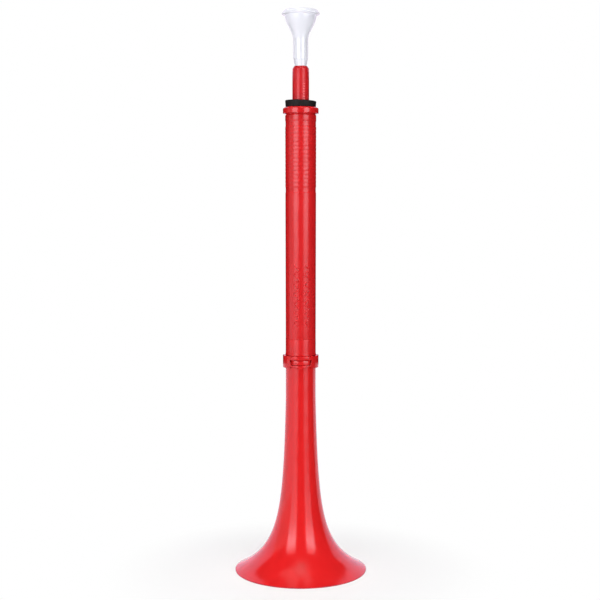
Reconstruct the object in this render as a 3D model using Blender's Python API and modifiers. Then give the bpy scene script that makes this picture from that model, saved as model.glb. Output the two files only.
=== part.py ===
"""A plastic slide trombone for beginners: one straight slide in one barrel, with a flared bell.

It stands on its bell. The origin is the centre of the bell's rim, +Z runs up to the mouthpiece, and
-Y is the front, where the window of the joint collar is. Lengths in this file are in millimetres, and
Blender's units are metres.
"""

import math

import bmesh
import bpy

MM = 0.001
GAP = 0.3

# Bell: a straight neck, and a flare that adds a slow and a quick curve
RIM_RADIUS = 64.6
LIP_HEIGHT = 1.0
LIP_CHAMFER = 0.35
BELL_WALL = 2.0
NECK_RADIUS = 14.7
NECK_FOOT = 172.0
NECK_TOP = 204.3
SLOW_FLARE = 16.86
SLOW_LENGTH = 68.5
QUICK_FLARE = 34.42
QUICK_LENGTH = 20.0

# Joint between the bell and the barrel: a bayonet of a quarter turn
COLLAR_RADIUS = 17.4
COLLAR_FOOT = 201.7
COLLAR_TOP = 213.5
CHAMBER_RADIUS = 15.2
CHAMBER_CEILING = 210.3
LUG_FOOT = 205.0
LUG_TOP = 209.9
LUG_HALF_ANGLE = math.radians(37)
STOP_ANGLE = math.radians(45)
STOP_HALF_ANGLE = math.radians(5.5)
WINDOW_FOOT = 205.0
WINDOW_TOP = 209.9
WINDOW_HALF_WIDTH_TOP = 10.7
WINDOW_HALF_WIDTH_FOOT = 9.3
LIP_EDGE = 203.7
TAB_FOOT = 200.95
TAB_HALF_WIDTH = 5.6
TAB_RADIUS = 17.75
SHAFT_RADIUS = 12.9
SPIGOT_RADIUS = 12.3
SPIGOT_BORE = 9.7
SPIGOT_FOOT = 194.0
SLEEVE_FOOT = 213.9
SLEEVE_TOP = 229.4
SLEEVE_RADIUS = 14.68
SLEEVE_FILLET = 0.17
TENON_TOP = 236.0
JOINT_SEAL_HEIGHT = 199.6
JOINT_SEAL_SECTION = 0.7

# Barrel and what closes its top
BARREL_TOP = 450.9
BARREL_RADIUS_TOP = 15.0
BARREL_RADIUS_FOOT = 14.62
BARREL_BORE = 13.05
GROOVE_DEPTH = 0.28
UPPER_GROOVE = (434.5, 440.5)
LOWER_GROOVE = (371.3, 377.0)
CAP_RADIUS = 17.2
CAP_FOOT = 447.5
CAP_SHOULDER = 452.3
CAP_TOP = 453.9
CAP_HOLE = 11.3
BUNG_FOOT = 447.0
BUNG_TOP = 459.2
BUNG_RADIUS_TOP = 15.1
BUNG_RADIUS_FOOT = 14.5
GUIDE_FOOT = 436.0

# Slide
TUBE_RADIUS = 8.05
TUBE_BORE = 5.9
TUBE_FOOT = 238.6
TUBE_TOP = 492.6
TUBE_CHAMFER_HEIGHT = 2.8
TUBE_EDGE_RADIUS = 6.9
RECEIVER_MOUTH = 6.35
RECEIVER_DEPTH = 25.6
PISTON_RADIUS = 12.4
PISTON_HEIGHT = 12.0
PISTON_LEDGE = 2.0
PISTON_SEAL_SECTION = 0.8
PISTON_SEAL_HEIGHTS = {"lower": 239.9, "upper": 244.7}

# Mouthpiece
MOUTHPIECE_TOP = 546.1
SHANK_FOOT = 466.0
SHANK_RADIUS_TOP = 6.05
SHANK_RADIUS_FOOT = 5.6
STEM_RADIUS = 7.3
STEM_FOOT = 501.6
CUP_FOOT = 518.0
CUP_TOP = 541.1
CUP_RADIUS = 14.9
MOUTH_RIM_RADIUS = 18.5
BOWL_MOUTH_RADIUS = 12.9
BOWL_MOUTH_HEIGHT = 544.0
BOWL_FOOT = 521.0
THROAT_RADIUS = 3.3
THROAT_FOOT = 517.0
BACKBORE_RADIUS = 4.5

# Facets round each piece
BELL_SIDES = 48
TUBE_SIDES = 40
SMALL_SIDES = 32

RED = (0.70, 0.022, 0.024)
WHITE = (0.86, 0.87, 0.91)
BLACK = (0.030, 0.024, 0.022)


def clear_scene():
    for old in list(bpy.data.objects):
        bpy.data.objects.remove(old)


def new_collection(name):
    collection = bpy.data.collections.new(name)
    bpy.context.scene.collection.children.link(collection)
    return collection


def plastic(name, colour, roughness):
    material = bpy.data.materials.new(name)
    material.use_nodes = True
    shader = material.node_tree.nodes["Principled BSDF"]
    shader.inputs["Base Color"].default_value = (*colour, 1.0)
    shader.inputs["Roughness"].default_value = roughness
    shader.inputs["Metallic"].default_value = 0.0
    return material


def empty(name, height, parent=None):
    """An empty on the axis of the horn, which carries what moves together."""
    pivot = bpy.data.objects.new(name, None)
    pivot.empty_display_size = 0.01
    parts.objects.link(pivot)
    attach(pivot, height, parent)
    return pivot


def attach(thing, height, parent):
    """Puts a thing on the axis at a height above the bell's rim, under its parent."""
    thing.location = (0, 0, height * MM)
    if parent:
        thing.parent = parent
        thing.location.z -= parent.matrix_world.translation.z
    bpy.context.view_layer.update()


def turned(name, outline, sides, seat=0.0, collection=None):
    """Turns a closed outline of (radius, height) round the axis.

    The outline runs down its outer side and back up its inner side. The piece's origin is on the axis
    at the height of its seat.
    """
    points = [(radius * MM, 0, (height - seat) * MM) for radius, height in outline]
    edges = [(i, (i + 1) % len(points)) for i in range(len(points))]
    mesh = bpy.data.meshes.new(name)
    mesh.from_pydata(points, edges, [])
    piece = bpy.data.objects.new(name, mesh)
    (collection or parts).objects.link(piece)
    screw = piece.modifiers.new("turn", "SCREW")
    screw.axis = "Z"
    screw.angle = math.tau
    screw.steps = sides
    screw.render_steps = sides
    screw.use_merge_vertices = True
    screw.merge_threshold = 0.00001
    piece.location.z = seat * MM
    return piece


def plate(name, outlines, low, high, upright=False):
    """A flat piece from outlines in the XY plane, or in the XZ plane when upright."""
    curve = bpy.data.curves.new(name, "CURVE")
    curve.dimensions = "2D"
    curve.fill_mode = "BOTH"
    curve.extrude = (high - low) / 2 * MM
    for outline in outlines:
        spline = curve.splines.new("POLY")
        spline.points.add(len(outline) - 1)
        for point, (x, y) in zip(spline.points, outline):
            point.co = (x * MM, y * MM, 0, 1)
        spline.use_cyclic_u = True
    drawn = bpy.data.objects.new(name, curve)
    cutters.objects.link(drawn)
    middle = (low + high) / 2 * MM
    if upright:
        drawn.rotation_euler.x = math.radians(90)
        drawn.location.y = -middle
    else:
        drawn.location.z = middle
    bpy.context.view_layer.update()
    mesh = bpy.data.meshes.new_from_object(drawn.evaluated_get(bpy.context.evaluated_depsgraph_get()))
    weld = bmesh.new()
    weld.from_mesh(mesh)
    bmesh.ops.remove_doubles(weld, verts=weld.verts, dist=0.000001)
    weld.to_mesh(mesh)
    weld.free()
    solid = bpy.data.objects.new(name, mesh)
    solid.matrix_world = drawn.matrix_world
    bpy.data.objects.remove(drawn)
    cutters.objects.link(solid)
    return hide(solid)


def hide(cutter):
    cutter.hide_render = True
    cutter.display_type = "WIRE"
    return cutter


def combine(piece, other, operation):
    boolean = piece.modifiers.new(other.name, "BOOLEAN")
    boolean.operation = operation
    boolean.solver = "EXACT"
    boolean.object = other


def wedge(middle_angle, half_angle, inner, outer):
    """A slice of pie without its tip, as an outline."""
    start = middle_angle - half_angle
    end = middle_angle + half_angle
    corners = [(inner, start), (outer, start), (outer, end), (inner, end)]
    return [(radius * math.cos(angle), radius * math.sin(angle)) for radius, angle in corners]


def ring_pieces(name, inner, outer, low, high, middle_angle, half_angle):
    """Two opposite stretches of a ring, as a cutter or as something to join."""
    ring = turned(name, [(outer, high), (outer, low), (inner, low), (inner, high)], TUBE_SIDES, 0.0, cutters)
    slices = [wedge(middle_angle + side, half_angle, inner / 2, outer * 2) for side in (0, math.pi)]
    combine(ring, plate(name + "_slices", slices, low - 1, high + 1), "INTERSECT")
    return hide(ring)


def finish(piece, material, height, parent):
    attach(piece, height, parent)
    piece.data.materials.append(material)
    return piece


def flare_radius(height):
    """Outer radius of the bell above its lip."""
    rise = height - LIP_HEIGHT
    base = RIM_RADIUS - SLOW_FLARE - QUICK_FLARE
    slow = SLOW_FLARE * math.exp(-rise / SLOW_LENGTH)
    quick = QUICK_FLARE * math.exp(-rise / QUICK_LENGTH)
    return max(base + slow + quick, NECK_RADIUS)


def flare_slope(height):
    step = 0.01
    return (flare_radius(height + step) - flare_radius(height)) / step


def bell_outline():
    rings = 14
    heights = [LIP_HEIGHT + (NECK_FOOT - LIP_HEIGHT) * (i / rings) ** 2 for i in range(rings + 1)]
    outer = [(flare_radius(height), height) for height in heights]
    inner = []
    for radius, height in outer:
        slope = flare_slope(height)
        length = math.hypot(1, slope)
        inner.append((radius - BELL_WALL / length, height + BELL_WALL * slope / length))
    inner = [point for point in inner if point[1] > 0.4]
    (r0, z0), (r1, z1) = inner[0], inner[1]
    foot = r0 + (r0 - r1) * z0 / (z1 - z0)
    neck_bore = NECK_RADIUS - BELL_WALL
    top = [(NECK_RADIUS - 0.3, NECK_TOP), (NECK_RADIUS, NECK_TOP - 0.3)]
    lip = [(RIM_RADIUS, LIP_CHAMFER), (RIM_RADIUS - LIP_CHAMFER, 0), (foot, 0)]
    bore = [(neck_bore, NECK_TOP - 0.3), (neck_bore + 0.3, NECK_TOP)]
    return top + outer[::-1] + lip + inner + bore


def make_bell():
    return turned("bell", bell_outline(), BELL_SIDES)


def tab_outline():
    """The rounded tab under the window, an arc through its foot and the lip's edge."""
    drop = LIP_EDGE - TAB_FOOT
    half = TAB_HALF_WIDTH - 0.4
    radius = (half * half + drop * drop) / (2 * drop)
    reach = math.asin(half / radius)
    steps = 8
    outline = [(half, WINDOW_FOOT - 0.1)]
    for i in range(steps + 1):
        angle = reach - 2 * reach * i / steps
        outline.append((radius * math.sin(angle), TAB_FOOT + radius * (1 - math.cos(angle))))
    outline.append((-half, WINDOW_FOOT - 0.1))
    return outline


def make_joint_collar():
    """The ring on the bell's neck that the barrel's lugs turn into."""
    neck = NECK_RADIUS + GAP
    shaft = SHAFT_RADIUS + GAP
    outline = [
        (COLLAR_RADIUS - 0.4, COLLAR_TOP),
        (COLLAR_RADIUS, COLLAR_TOP - 0.4),
        (COLLAR_RADIUS, COLLAR_FOOT + 0.4),
        (COLLAR_RADIUS - 0.4, COLLAR_FOOT),
        (neck, COLLAR_FOOT),
        (neck, NECK_TOP),
        (CHAMBER_RADIUS, NECK_TOP),
        (CHAMBER_RADIUS, CHAMBER_CEILING),
        (shaft, CHAMBER_CEILING),
        (shaft, COLLAR_TOP),
    ]
    collar = turned("joint_collar", outline, BELL_SIDES)
    reach = COLLAR_RADIUS + 2

    window = [
        (-WINDOW_HALF_WIDTH_TOP, WINDOW_TOP),
        (WINDOW_HALF_WIDTH_TOP, WINDOW_TOP),
        (WINDOW_HALF_WIDTH_FOOT, WINDOW_FOOT),
        (-WINDOW_HALF_WIDTH_FOOT, WINDOW_FOOT),
    ]
    combine(collar, plate("windows", [window], -reach, reach, upright=True), "DIFFERENCE")

    notches = []
    for side in (-1, 1):
        near = side * TAB_HALF_WIDTH
        far = side * WINDOW_HALF_WIDTH_TOP
        notches.append([(near, COLLAR_FOOT - 1), (far, COLLAR_FOOT - 1), (far, LIP_EDGE), (near, LIP_EDGE)])
    combine(collar, plate("lip_notches", notches, -reach, reach, upright=True), "DIFFERENCE")

    inner = neck + GAP
    tab_ring = [(TAB_RADIUS, WINDOW_FOOT), (TAB_RADIUS, TAB_FOOT - 1), (inner, TAB_FOOT - 1), (inner, WINDOW_FOOT)]
    tabs = hide(turned("tabs", tab_ring, BELL_SIDES, 0.0, cutters))
    combine(tabs, plate("tab_outline", [tab_outline()], -reach, reach, upright=True), "INTERSECT")
    combine(collar, tabs, "UNION")

    # the lugs pass down through these two when the barrel is a quarter turn from home
    entry_angle = LUG_HALF_ANGLE + math.radians(2)
    entries = ring_pieces("lug_entries", SHAFT_RADIUS - 2, CHAMBER_RADIUS, CHAMBER_CEILING - 0.5,
                          COLLAR_TOP + 1, 0.0, entry_angle)
    combine(collar, entries, "DIFFERENCE")
    stops = ring_pieces("lug_stops", shaft, CHAMBER_RADIUS + 0.6, NECK_TOP + 0.4,
                        CHAMBER_CEILING + 0.6, STOP_ANGLE, STOP_HALF_ANGLE)
    combine(collar, stops, "UNION")
    return collar


def make_joint_spigot():
    """The barrel's foot: a sleeve outside, a tenon in the barrel and a spigot in the bell's neck."""
    groove_floor = NECK_RADIUS - BELL_WALL - 2 * GAP - 2 * JOINT_SEAL_SECTION
    groove_half = JOINT_SEAL_SECTION + GAP
    outline = [
        (BARREL_BORE - GAP - 0.4, TENON_TOP),
        (BARREL_BORE - GAP, TENON_TOP - 0.4),
        (BARREL_BORE - GAP, SLEEVE_TOP),
        (SLEEVE_RADIUS - 0.1, SLEEVE_TOP),
        (SLEEVE_RADIUS, SLEEVE_TOP - 0.2),
        (SLEEVE_RADIUS, SLEEVE_FOOT + 2.4),
        (SLEEVE_RADIUS + SLEEVE_FILLET, SLEEVE_FOOT + 1.0),
        (SLEEVE_RADIUS + SLEEVE_FILLET, SLEEVE_FOOT + 0.3),
        (SLEEVE_RADIUS - 0.1, SLEEVE_FOOT),
        (SHAFT_RADIUS, SLEEVE_FOOT),
        (SHAFT_RADIUS, NECK_TOP + 0.4),
        (SPIGOT_RADIUS, NECK_TOP - 0.2),
        (SPIGOT_RADIUS, JOINT_SEAL_HEIGHT + groove_half),
        (groove_floor, JOINT_SEAL_HEIGHT + groove_half),
        (groove_floor, JOINT_SEAL_HEIGHT - groove_half),
        (SPIGOT_RADIUS, JOINT_SEAL_HEIGHT - groove_half),
        (SPIGOT_RADIUS, SPIGOT_FOOT + 0.8),
        (SPIGOT_RADIUS - 0.5, SPIGOT_FOOT),
        (SPIGOT_BORE + 0.4, SPIGOT_FOOT),
        (SPIGOT_BORE, SPIGOT_FOOT + 0.8),
        (SPIGOT_BORE, TENON_TOP - 0.8),
        (SPIGOT_BORE + 0.8, TENON_TOP),
    ]
    spigot = turned("joint_spigot", outline, TUBE_SIDES, SLEEVE_FOOT)
    lugs = ring_pieces("lugs", SHAFT_RADIUS - 0.5, CHAMBER_RADIUS - GAP, LUG_FOOT, LUG_TOP,
                       math.radians(90), LUG_HALF_ANGLE)
    combine(spigot, lugs, "UNION")
    return spigot


def seal_ring(name, radius, height, section):
    """A rubber ring of round section."""
    corners = 6
    outline = []
    for i in range(corners):
        angle = math.tau * (0.5 - i) / corners
        outline.append((radius + section * math.cos(angle), height + section * math.sin(angle)))
    return turned(name, outline, SMALL_SIDES, height)


def barrel_radius(height):
    """The barrel narrows a little towards its foot, as a long moulding must."""
    share = (height - SLEEVE_TOP) / (BARREL_TOP - SLEEVE_TOP)
    return BARREL_RADIUS_FOOT + (BARREL_RADIUS_TOP - BARREL_RADIUS_FOOT) * share


def make_barrel():
    foot = SLEEVE_TOP + GAP
    outline = [(barrel_radius(BARREL_TOP) - 0.2, BARREL_TOP), (barrel_radius(BARREL_TOP), BARREL_TOP - 0.2)]
    for low, high in (UPPER_GROOVE, LOWER_GROOVE):
        outline.append((barrel_radius(high), high))
        outline.append((barrel_radius(high) - GROOVE_DEPTH, high - 0.3))
        outline.append((barrel_radius(low) - GROOVE_DEPTH, low + 0.3))
        outline.append((barrel_radius(low), low))
    outline.append((barrel_radius(foot), foot + 0.2))
    outline.append((barrel_radius(foot) - 0.2, foot))
    outline.append((BARREL_BORE, foot))
    outline.append((BARREL_BORE, BARREL_TOP))
    return turned("barrel", outline, TUBE_SIDES, foot)


def make_barrel_cap():
    skirt = BARREL_RADIUS_TOP + GAP + 0.05
    ceiling = BARREL_TOP + GAP
    outline = [
        (CAP_RADIUS - 1.9, CAP_TOP),
        (CAP_RADIUS - 0.15, CAP_SHOULDER + 0.15),
        (CAP_RADIUS, CAP_SHOULDER - 0.15),
        (CAP_RADIUS, CAP_FOOT + 0.3),
        (CAP_RADIUS - 0.3, CAP_FOOT),
        (skirt, CAP_FOOT),
        (skirt, ceiling),
        (CAP_HOLE, ceiling),
        (CAP_HOLE, CAP_TOP),
    ]
    return turned("barrel_cap", outline, TUBE_SIDES, CAP_FOOT)


def make_slide_bung():
    """Rubber ring: a collar on the cap, a waist in the cap's hole and a shoulder inside the barrel."""
    waist = CAP_HOLE - GAP
    shoulder = BARREL_BORE - GAP - 0.15
    bore = TUBE_RADIUS + GAP
    outline = [
        (BUNG_RADIUS_TOP - 0.5, BUNG_TOP),
        (BUNG_RADIUS_TOP, BUNG_TOP - 0.5),
        (BUNG_RADIUS_FOOT, CAP_TOP + GAP),
        (waist, CAP_TOP + GAP),
        (waist, BARREL_TOP),
        (shoulder, BARREL_TOP),
        (shoulder, BUNG_FOOT + 0.4),
        (shoulder - 0.4, BUNG_FOOT),
        (bore, BUNG_FOOT),
        (bore, BUNG_TOP - 0.6),
        (bore + 0.6, BUNG_TOP),
    ]
    return turned("slide_bung", outline, TUBE_SIDES, CAP_TOP)


def make_slide_guide():
    outer = BARREL_BORE - GAP
    bore = TUBE_RADIUS + GAP
    top = BUNG_FOOT - GAP
    outline = [
        (outer - 0.4, top),
        (outer, top - 0.4),
        (outer, GUIDE_FOOT + 0.4),
        (outer - 0.4, GUIDE_FOOT),
        (bore, GUIDE_FOOT),
        (bore, top),
    ]
    return turned("slide_guide", outline, SMALL_SIDES, GUIDE_FOOT)


def make_slide_tube():
    shoulder = TUBE_TOP - TUBE_CHAMFER_HEIGHT
    outline = [
        (TUBE_EDGE_RADIUS, TUBE_TOP),
        (TUBE_RADIUS - 0.15, shoulder + 0.3),
        (TUBE_RADIUS, shoulder - 0.2),
        (TUBE_RADIUS, TUBE_FOOT + 0.2),
        (TUBE_RADIUS - 0.2, TUBE_FOOT),
        (TUBE_BORE, TUBE_FOOT),
        (TUBE_BORE, TUBE_TOP - RECEIVER_DEPTH),
        (RECEIVER_MOUTH, TUBE_TOP),
    ]
    return turned("slide_tube", outline, SMALL_SIDES, TUBE_FOOT)


def make_slide_piston():
    """Bush on the tube's foot, with a ledge under the tube and a groove for each seal."""
    foot = TENON_TOP + GAP
    top = foot + PISTON_HEIGHT
    bore = TUBE_RADIUS + GAP
    groove_floor = BARREL_BORE - 2 * GAP - 2 * PISTON_SEAL_SECTION
    groove_half = PISTON_SEAL_SECTION + GAP
    outline = [(PISTON_RADIUS - 0.5, top), (PISTON_RADIUS, top - 0.5)]
    for height in sorted(PISTON_SEAL_HEIGHTS.values(), reverse=True):
        outline.append((PISTON_RADIUS, height + groove_half))
        outline.append((groove_floor, height + groove_half))
        outline.append((groove_floor, height - groove_half))
        outline.append((PISTON_RADIUS, height - groove_half))
    outline += [
        (PISTON_RADIUS, foot + 0.5),
        (PISTON_RADIUS - 0.5, foot),
        (TUBE_BORE + GAP, foot),
        (TUBE_BORE + GAP, foot + PISTON_LEDGE),
        (bore, foot + PISTON_LEDGE),
        (bore, top - 0.3),
        (bore + 0.3, top),
    ]
    return turned("slide_piston", outline, TUBE_SIDES, foot)


def piston_seal(place):
    radius = BARREL_BORE - GAP - PISTON_SEAL_SECTION
    return seal_ring("piston_seal_" + place, radius, PISTON_SEAL_HEIGHTS[place], PISTON_SEAL_SECTION)


def ease(share):
    """Goes from 0 to 1 with a level start and a level end."""
    return share ** 3 * (share * (6 * share - 15) + 10)


def arc(centre, radii, start, end, steps):
    """Points on an ellipse in the (radius, height) plane, with angles in degrees."""
    points = []
    for i in range(steps + 1):
        angle = math.radians(start + (end - start) * i / steps)
        points.append((centre[0] + radii[0] * math.cos(angle), centre[1] + radii[1] * math.sin(angle)))
    return points


def make_mouthpiece():
    """One moulding: rounded rim, cup, straight stem, tapered shank, and the bore through them."""
    crest = (BOWL_MOUTH_RADIUS + MOUTH_RIM_RADIUS) / 2
    rim_height = CUP_TOP + 1.6
    rim = arc((crest, rim_height), (MOUTH_RIM_RADIUS - crest, MOUTHPIECE_TOP - rim_height), 90, -25, 6)
    underside = [(CUP_RADIUS + 2.0, CUP_TOP), (CUP_RADIUS, CUP_TOP)]

    cup = []
    cup_steps = 8
    for i in range(1, cup_steps + 1):
        share = 1 - i / cup_steps
        cup.append((STEM_RADIUS + (CUP_RADIUS - STEM_RADIUS) * ease(share), CUP_FOOT + (CUP_TOP - CUP_FOOT) * share))

    stem = [(STEM_RADIUS, STEM_FOOT), (STEM_RADIUS - 0.45, STEM_FOOT - 2.8)]
    stem += [(STEM_RADIUS - 1.05, STEM_FOOT - 6.0), (SHANK_RADIUS_TOP, TUBE_TOP + 0.4)]
    shank = [(SHANK_RADIUS_FOOT, SHANK_FOOT + 0.2), (SHANK_RADIUS_FOOT - 0.2, SHANK_FOOT)]
    backbore = [(BACKBORE_RADIUS, SHANK_FOOT), (THROAT_RADIUS, THROAT_FOOT), (THROAT_RADIUS, BOWL_FOOT)]

    bowl = []
    bowl_steps = 7
    for i in range(1, bowl_steps + 1):
        share = i / bowl_steps
        radius = THROAT_RADIUS + (BOWL_MOUTH_RADIUS - THROAT_RADIUS) * share ** 0.6
        bowl.append((radius, BOWL_FOOT + (BOWL_MOUTH_HEIGHT - BOWL_FOOT) * share))
    inner_rim = arc((crest, rim_height), (crest - BOWL_MOUTH_RADIUS, MOUTHPIECE_TOP - rim_height), 150, 115, 2)

    outline = rim + underside + cup + stem + shank + backbore + bowl + inner_rim
    return turned("mouthpiece", outline, SMALL_SIDES, TUBE_TOP)


def smooth(piece):
    """Shades the round sides smooth and keeps the corners."""
    for modifier in piece.modifiers:
        if modifier.type == "SCREW":
            modifier.use_smooth_shade = True


clear_scene()
parts = new_collection("plastic_trombone")
cutters = new_collection("cutters")

red_plastic = plastic("red_plastic", RED, 0.22)
white_plastic = plastic("white_plastic", WHITE, 0.2)
inner_plastic = plastic("pale_inner_plastic", WHITE, 0.45)
black_rubber = plastic("black_rubber", BLACK, 0.7)

# The bell stands on its rim and carries the collar
finish(make_bell(), red_plastic, 0.0, None)
finish(make_joint_collar(), red_plastic, 0.0, None)

# The barrel turns in the collar
barrel_pivot = empty("barrel_pivot", SLEEVE_FOOT)
finish(make_joint_spigot(), red_plastic, SLEEVE_FOOT, barrel_pivot)
joint_seal_radius = NECK_RADIUS - BELL_WALL - GAP - JOINT_SEAL_SECTION
joint_seal = seal_ring("joint_seal", joint_seal_radius, JOINT_SEAL_HEIGHT, JOINT_SEAL_SECTION)
finish(joint_seal, black_rubber, JOINT_SEAL_HEIGHT, barrel_pivot)
finish(make_barrel(), red_plastic, SLEEVE_TOP + GAP, barrel_pivot)
finish(make_barrel_cap(), red_plastic, CAP_FOOT, barrel_pivot)
finish(make_slide_bung(), black_rubber, CAP_TOP, barrel_pivot)
finish(make_slide_guide(), inner_plastic, GUIDE_FOOT, barrel_pivot)

# The seals slide in the barrel, and the slide turns in them
slide_runner = empty("slide_runner", TENON_TOP + GAP, barrel_pivot)
for seal_place, seal_height in PISTON_SEAL_HEIGHTS.items():
    finish(piston_seal(seal_place), black_rubber, seal_height, slide_runner)
slide_pivot = empty("slide_pivot", TENON_TOP + GAP, slide_runner)
finish(make_slide_piston(), inner_plastic, TENON_TOP + GAP, slide_pivot)
finish(make_slide_tube(), red_plastic, TUBE_FOOT, slide_pivot)

# The mouthpiece pulls out of the slide tube
mouthpiece_seat = empty("mouthpiece_seat", TUBE_TOP, slide_pivot)
finish(make_mouthpiece(), white_plastic, TUBE_TOP, mouthpiece_seat)

for piece in parts.objects:
    smooth(piece)
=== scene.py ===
# %% [markdown]
# A plastic slide horn, dressed for its portrait
#
# The construction is done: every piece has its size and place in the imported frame. This lesson makes
# each piece again with the roundings, ribs and finish of the real moulding, and lights it as a small
# thing is lit in a studio. Everything is in metres, +Z is up, and the horn stands on the origin.

import math

import bpy
import bmesh
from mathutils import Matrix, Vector


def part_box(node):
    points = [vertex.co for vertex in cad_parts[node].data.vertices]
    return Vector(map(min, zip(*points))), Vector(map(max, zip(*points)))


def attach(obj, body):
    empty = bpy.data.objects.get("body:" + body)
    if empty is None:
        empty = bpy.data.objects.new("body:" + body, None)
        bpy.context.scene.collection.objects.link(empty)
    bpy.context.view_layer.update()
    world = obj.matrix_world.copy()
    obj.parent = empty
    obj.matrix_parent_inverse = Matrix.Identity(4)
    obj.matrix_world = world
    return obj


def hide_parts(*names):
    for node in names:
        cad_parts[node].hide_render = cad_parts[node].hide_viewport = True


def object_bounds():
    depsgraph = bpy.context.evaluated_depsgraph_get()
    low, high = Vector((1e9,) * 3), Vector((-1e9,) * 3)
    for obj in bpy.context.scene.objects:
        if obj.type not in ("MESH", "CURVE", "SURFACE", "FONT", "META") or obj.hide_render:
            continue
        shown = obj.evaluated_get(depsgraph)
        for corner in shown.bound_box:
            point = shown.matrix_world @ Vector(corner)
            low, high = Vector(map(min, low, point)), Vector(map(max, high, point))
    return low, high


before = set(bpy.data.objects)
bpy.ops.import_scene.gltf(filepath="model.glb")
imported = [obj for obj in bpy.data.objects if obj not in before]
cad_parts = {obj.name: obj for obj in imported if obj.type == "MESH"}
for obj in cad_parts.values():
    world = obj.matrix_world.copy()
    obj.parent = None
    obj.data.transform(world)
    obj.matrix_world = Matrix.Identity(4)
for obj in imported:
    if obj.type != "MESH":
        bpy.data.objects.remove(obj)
cad_low, cad_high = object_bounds()
MM = 0.001

print("pieces in the frame:", len(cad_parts))
print("height in mm:", round((cad_high.z - cad_low.z) / MM, 1))

# %% [markdown]
# Sizes come from the frame where they can. A turned piece needs only its outer radius, its foot and its
# top, and all three can be read from the box round its node. The radii of bores can't be read from a
# box, so those few are written here.

# %% Sizes of the real pieces


def sizes_of(node):
    """Outer radius, foot and top."""
    low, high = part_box(node)
    return high.x, low.z, high.z


def middle_of(node):
    foot, top = sizes_of(node)[1:]
    return (foot + top) / 2


GAP = 0.3 * MM
BELL_WALL = 2.0 * MM
NECK_RADIUS = 14.7 * MM
NECK_BORE = NECK_RADIUS - BELL_WALL
BARREL_BORE = 13.05 * MM
TUBE_RADIUS, TUBE_FOOT, TUBE_TOP = sizes_of("slide_tube")
TUBE_BORE = 5.9 * MM
SPIGOT_BORE = 9.7 * MM
SHAFT_RADIUS = 12.9 * MM

print("slide tube", round(TUBE_RADIUS / MM, 1), "mm in radius")

# %% [markdown]
# The camera stands a little over a metre in front, level with the middle of the barrel, and tilts down
# by about four degrees. That is why the bell's rim shows as a wide ellipse and the mouthpiece is seen
# from a little below. A long lens keeps the verticals straight.

# %% Camera
CAMERA_DISTANCE = 1.168
CAMERA_HEIGHT = 0.353
CAMERA_ASIDE = -0.0007
CAMERA_TILT = math.radians(4.2)
CAMERA_LENS = 72.0

camera_data = bpy.data.cameras.new("portrait_camera")
camera_data.lens = CAMERA_LENS
camera_data.sensor_width = 36.0
camera = bpy.data.objects.new("portrait_camera", camera_data)
camera.location = (CAMERA_ASIDE, -CAMERA_DISTANCE, CAMERA_HEIGHT)
camera.rotation_euler = (math.radians(90) - CAMERA_TILT, 0, 0)
bpy.context.scene.collection.objects.link(camera)
bpy.context.scene.camera = camera
bpy.context.scene.view_settings.view_transform = "Standard"

print("camera at", [round(value, 3) for value in camera.location])

# %% [markdown]
# Materials are made of nodes, so small helpers save much typing. One feeds a socket, one adds a node and
# feeds its sockets, and the rest each stand for one kind of step: sums, ranges, noise and mixes.

# %% Helpers for nodes


def feed(tree, target, source):
    """The source is another socket, or a plain number, vector or colour."""
    if isinstance(source, bpy.types.NodeSocket):
        tree.links.new(source, target)
    else:
        target.default_value = source


def add_node(tree, kind, values=(), **settings):
    """A node with its settings, and with values for its sockets by name or number."""
    node = tree.nodes.new(kind)
    for name, setting in settings.items():
        setattr(node, name, setting)
    for label, value in dict(values).items():
        feed(tree, node.inputs[label], value)
    return node


def arithmetic(tree, operation, *values):
    """Math nodes, one after the other, over two or more sockets or numbers."""
    result = values[0]
    for value in values[1:]:
        result = add_node(tree, "ShaderNodeMath", {0: result, 1: value}, operation=operation).outputs[0]
    return result


def map_range(tree, value, low, high, to_low=0.0, to_high=1.0, curve="LINEAR"):
    values = {"Value": value, "From Min": low, "From Max": high, "To Min": to_low, "To Max": to_high}
    return add_node(tree, "ShaderNodeMapRange", values, interpolation_type=curve).outputs["Result"]


def mix_colours(tree, share, first, second):
    values = {"Factor": share, "A": first, "B": second}
    return add_node(tree, "ShaderNodeMix", values, data_type="RGBA").outputs["Result"]


def mix_shaders(tree, share, first, second):
    return add_node(tree, "ShaderNodeMixShader", {0: share, 1: first, 2: second}).outputs["Shader"]


def object_place(tree):
    """The place in the piece's own space, which stays with the piece when it moves."""
    return add_node(tree, "ShaderNodeTexCoord").outputs["Object"]


def height_in(tree, place):
    return add_node(tree, "ShaderNodeSeparateXYZ", {"Vector": place}).outputs["Z"]


def noise(tree, place, scale, detail, stretch=(1.0, 1.0, 1.0)):
    """Noise, drawn out along an axis where that part of the stretch is under 1."""
    mapping = add_node(tree, "ShaderNodeMapping", {"Vector": place, "Scale": stretch})
    values = {"Vector": mapping.outputs["Vector"], "Scale": scale, "Detail": detail}
    return add_node(tree, "ShaderNodeTexNoise", values).outputs["Fac"]


def new_material(name):
    """A material, its node tree and its shader."""
    material = bpy.data.materials.new(name)
    material.use_nodes = True
    return material, material.node_tree, material.node_tree.nodes["Principled BSDF"]


print("node helpers ready")

# %% [markdown]
# Moulded plastic is never a perfect mirror. As it cools it sinks a little, so long highlights wander;
# its skin has a faint grain; and handling leaves hair scratches that run mostly along the tube. One
# group makes all three from noise in the piece's own space, so that they stay put when a piece moves.
# It gives a mask for the colour, a roughness and a height.

# %% Group: the skin of a moulding
GRAIN_HEIGHT = 0.004
SCRATCH_HEIGHT = -0.006
SCRATCH_DULLNESS = 0.08
SKIN_INPUTS = {
    "Base Roughness": 0.2,
    "Roughness Spread": 0.1,
    "Sink Depth": 1.0,
    "Grain Depth": 1.0,
}


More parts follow.
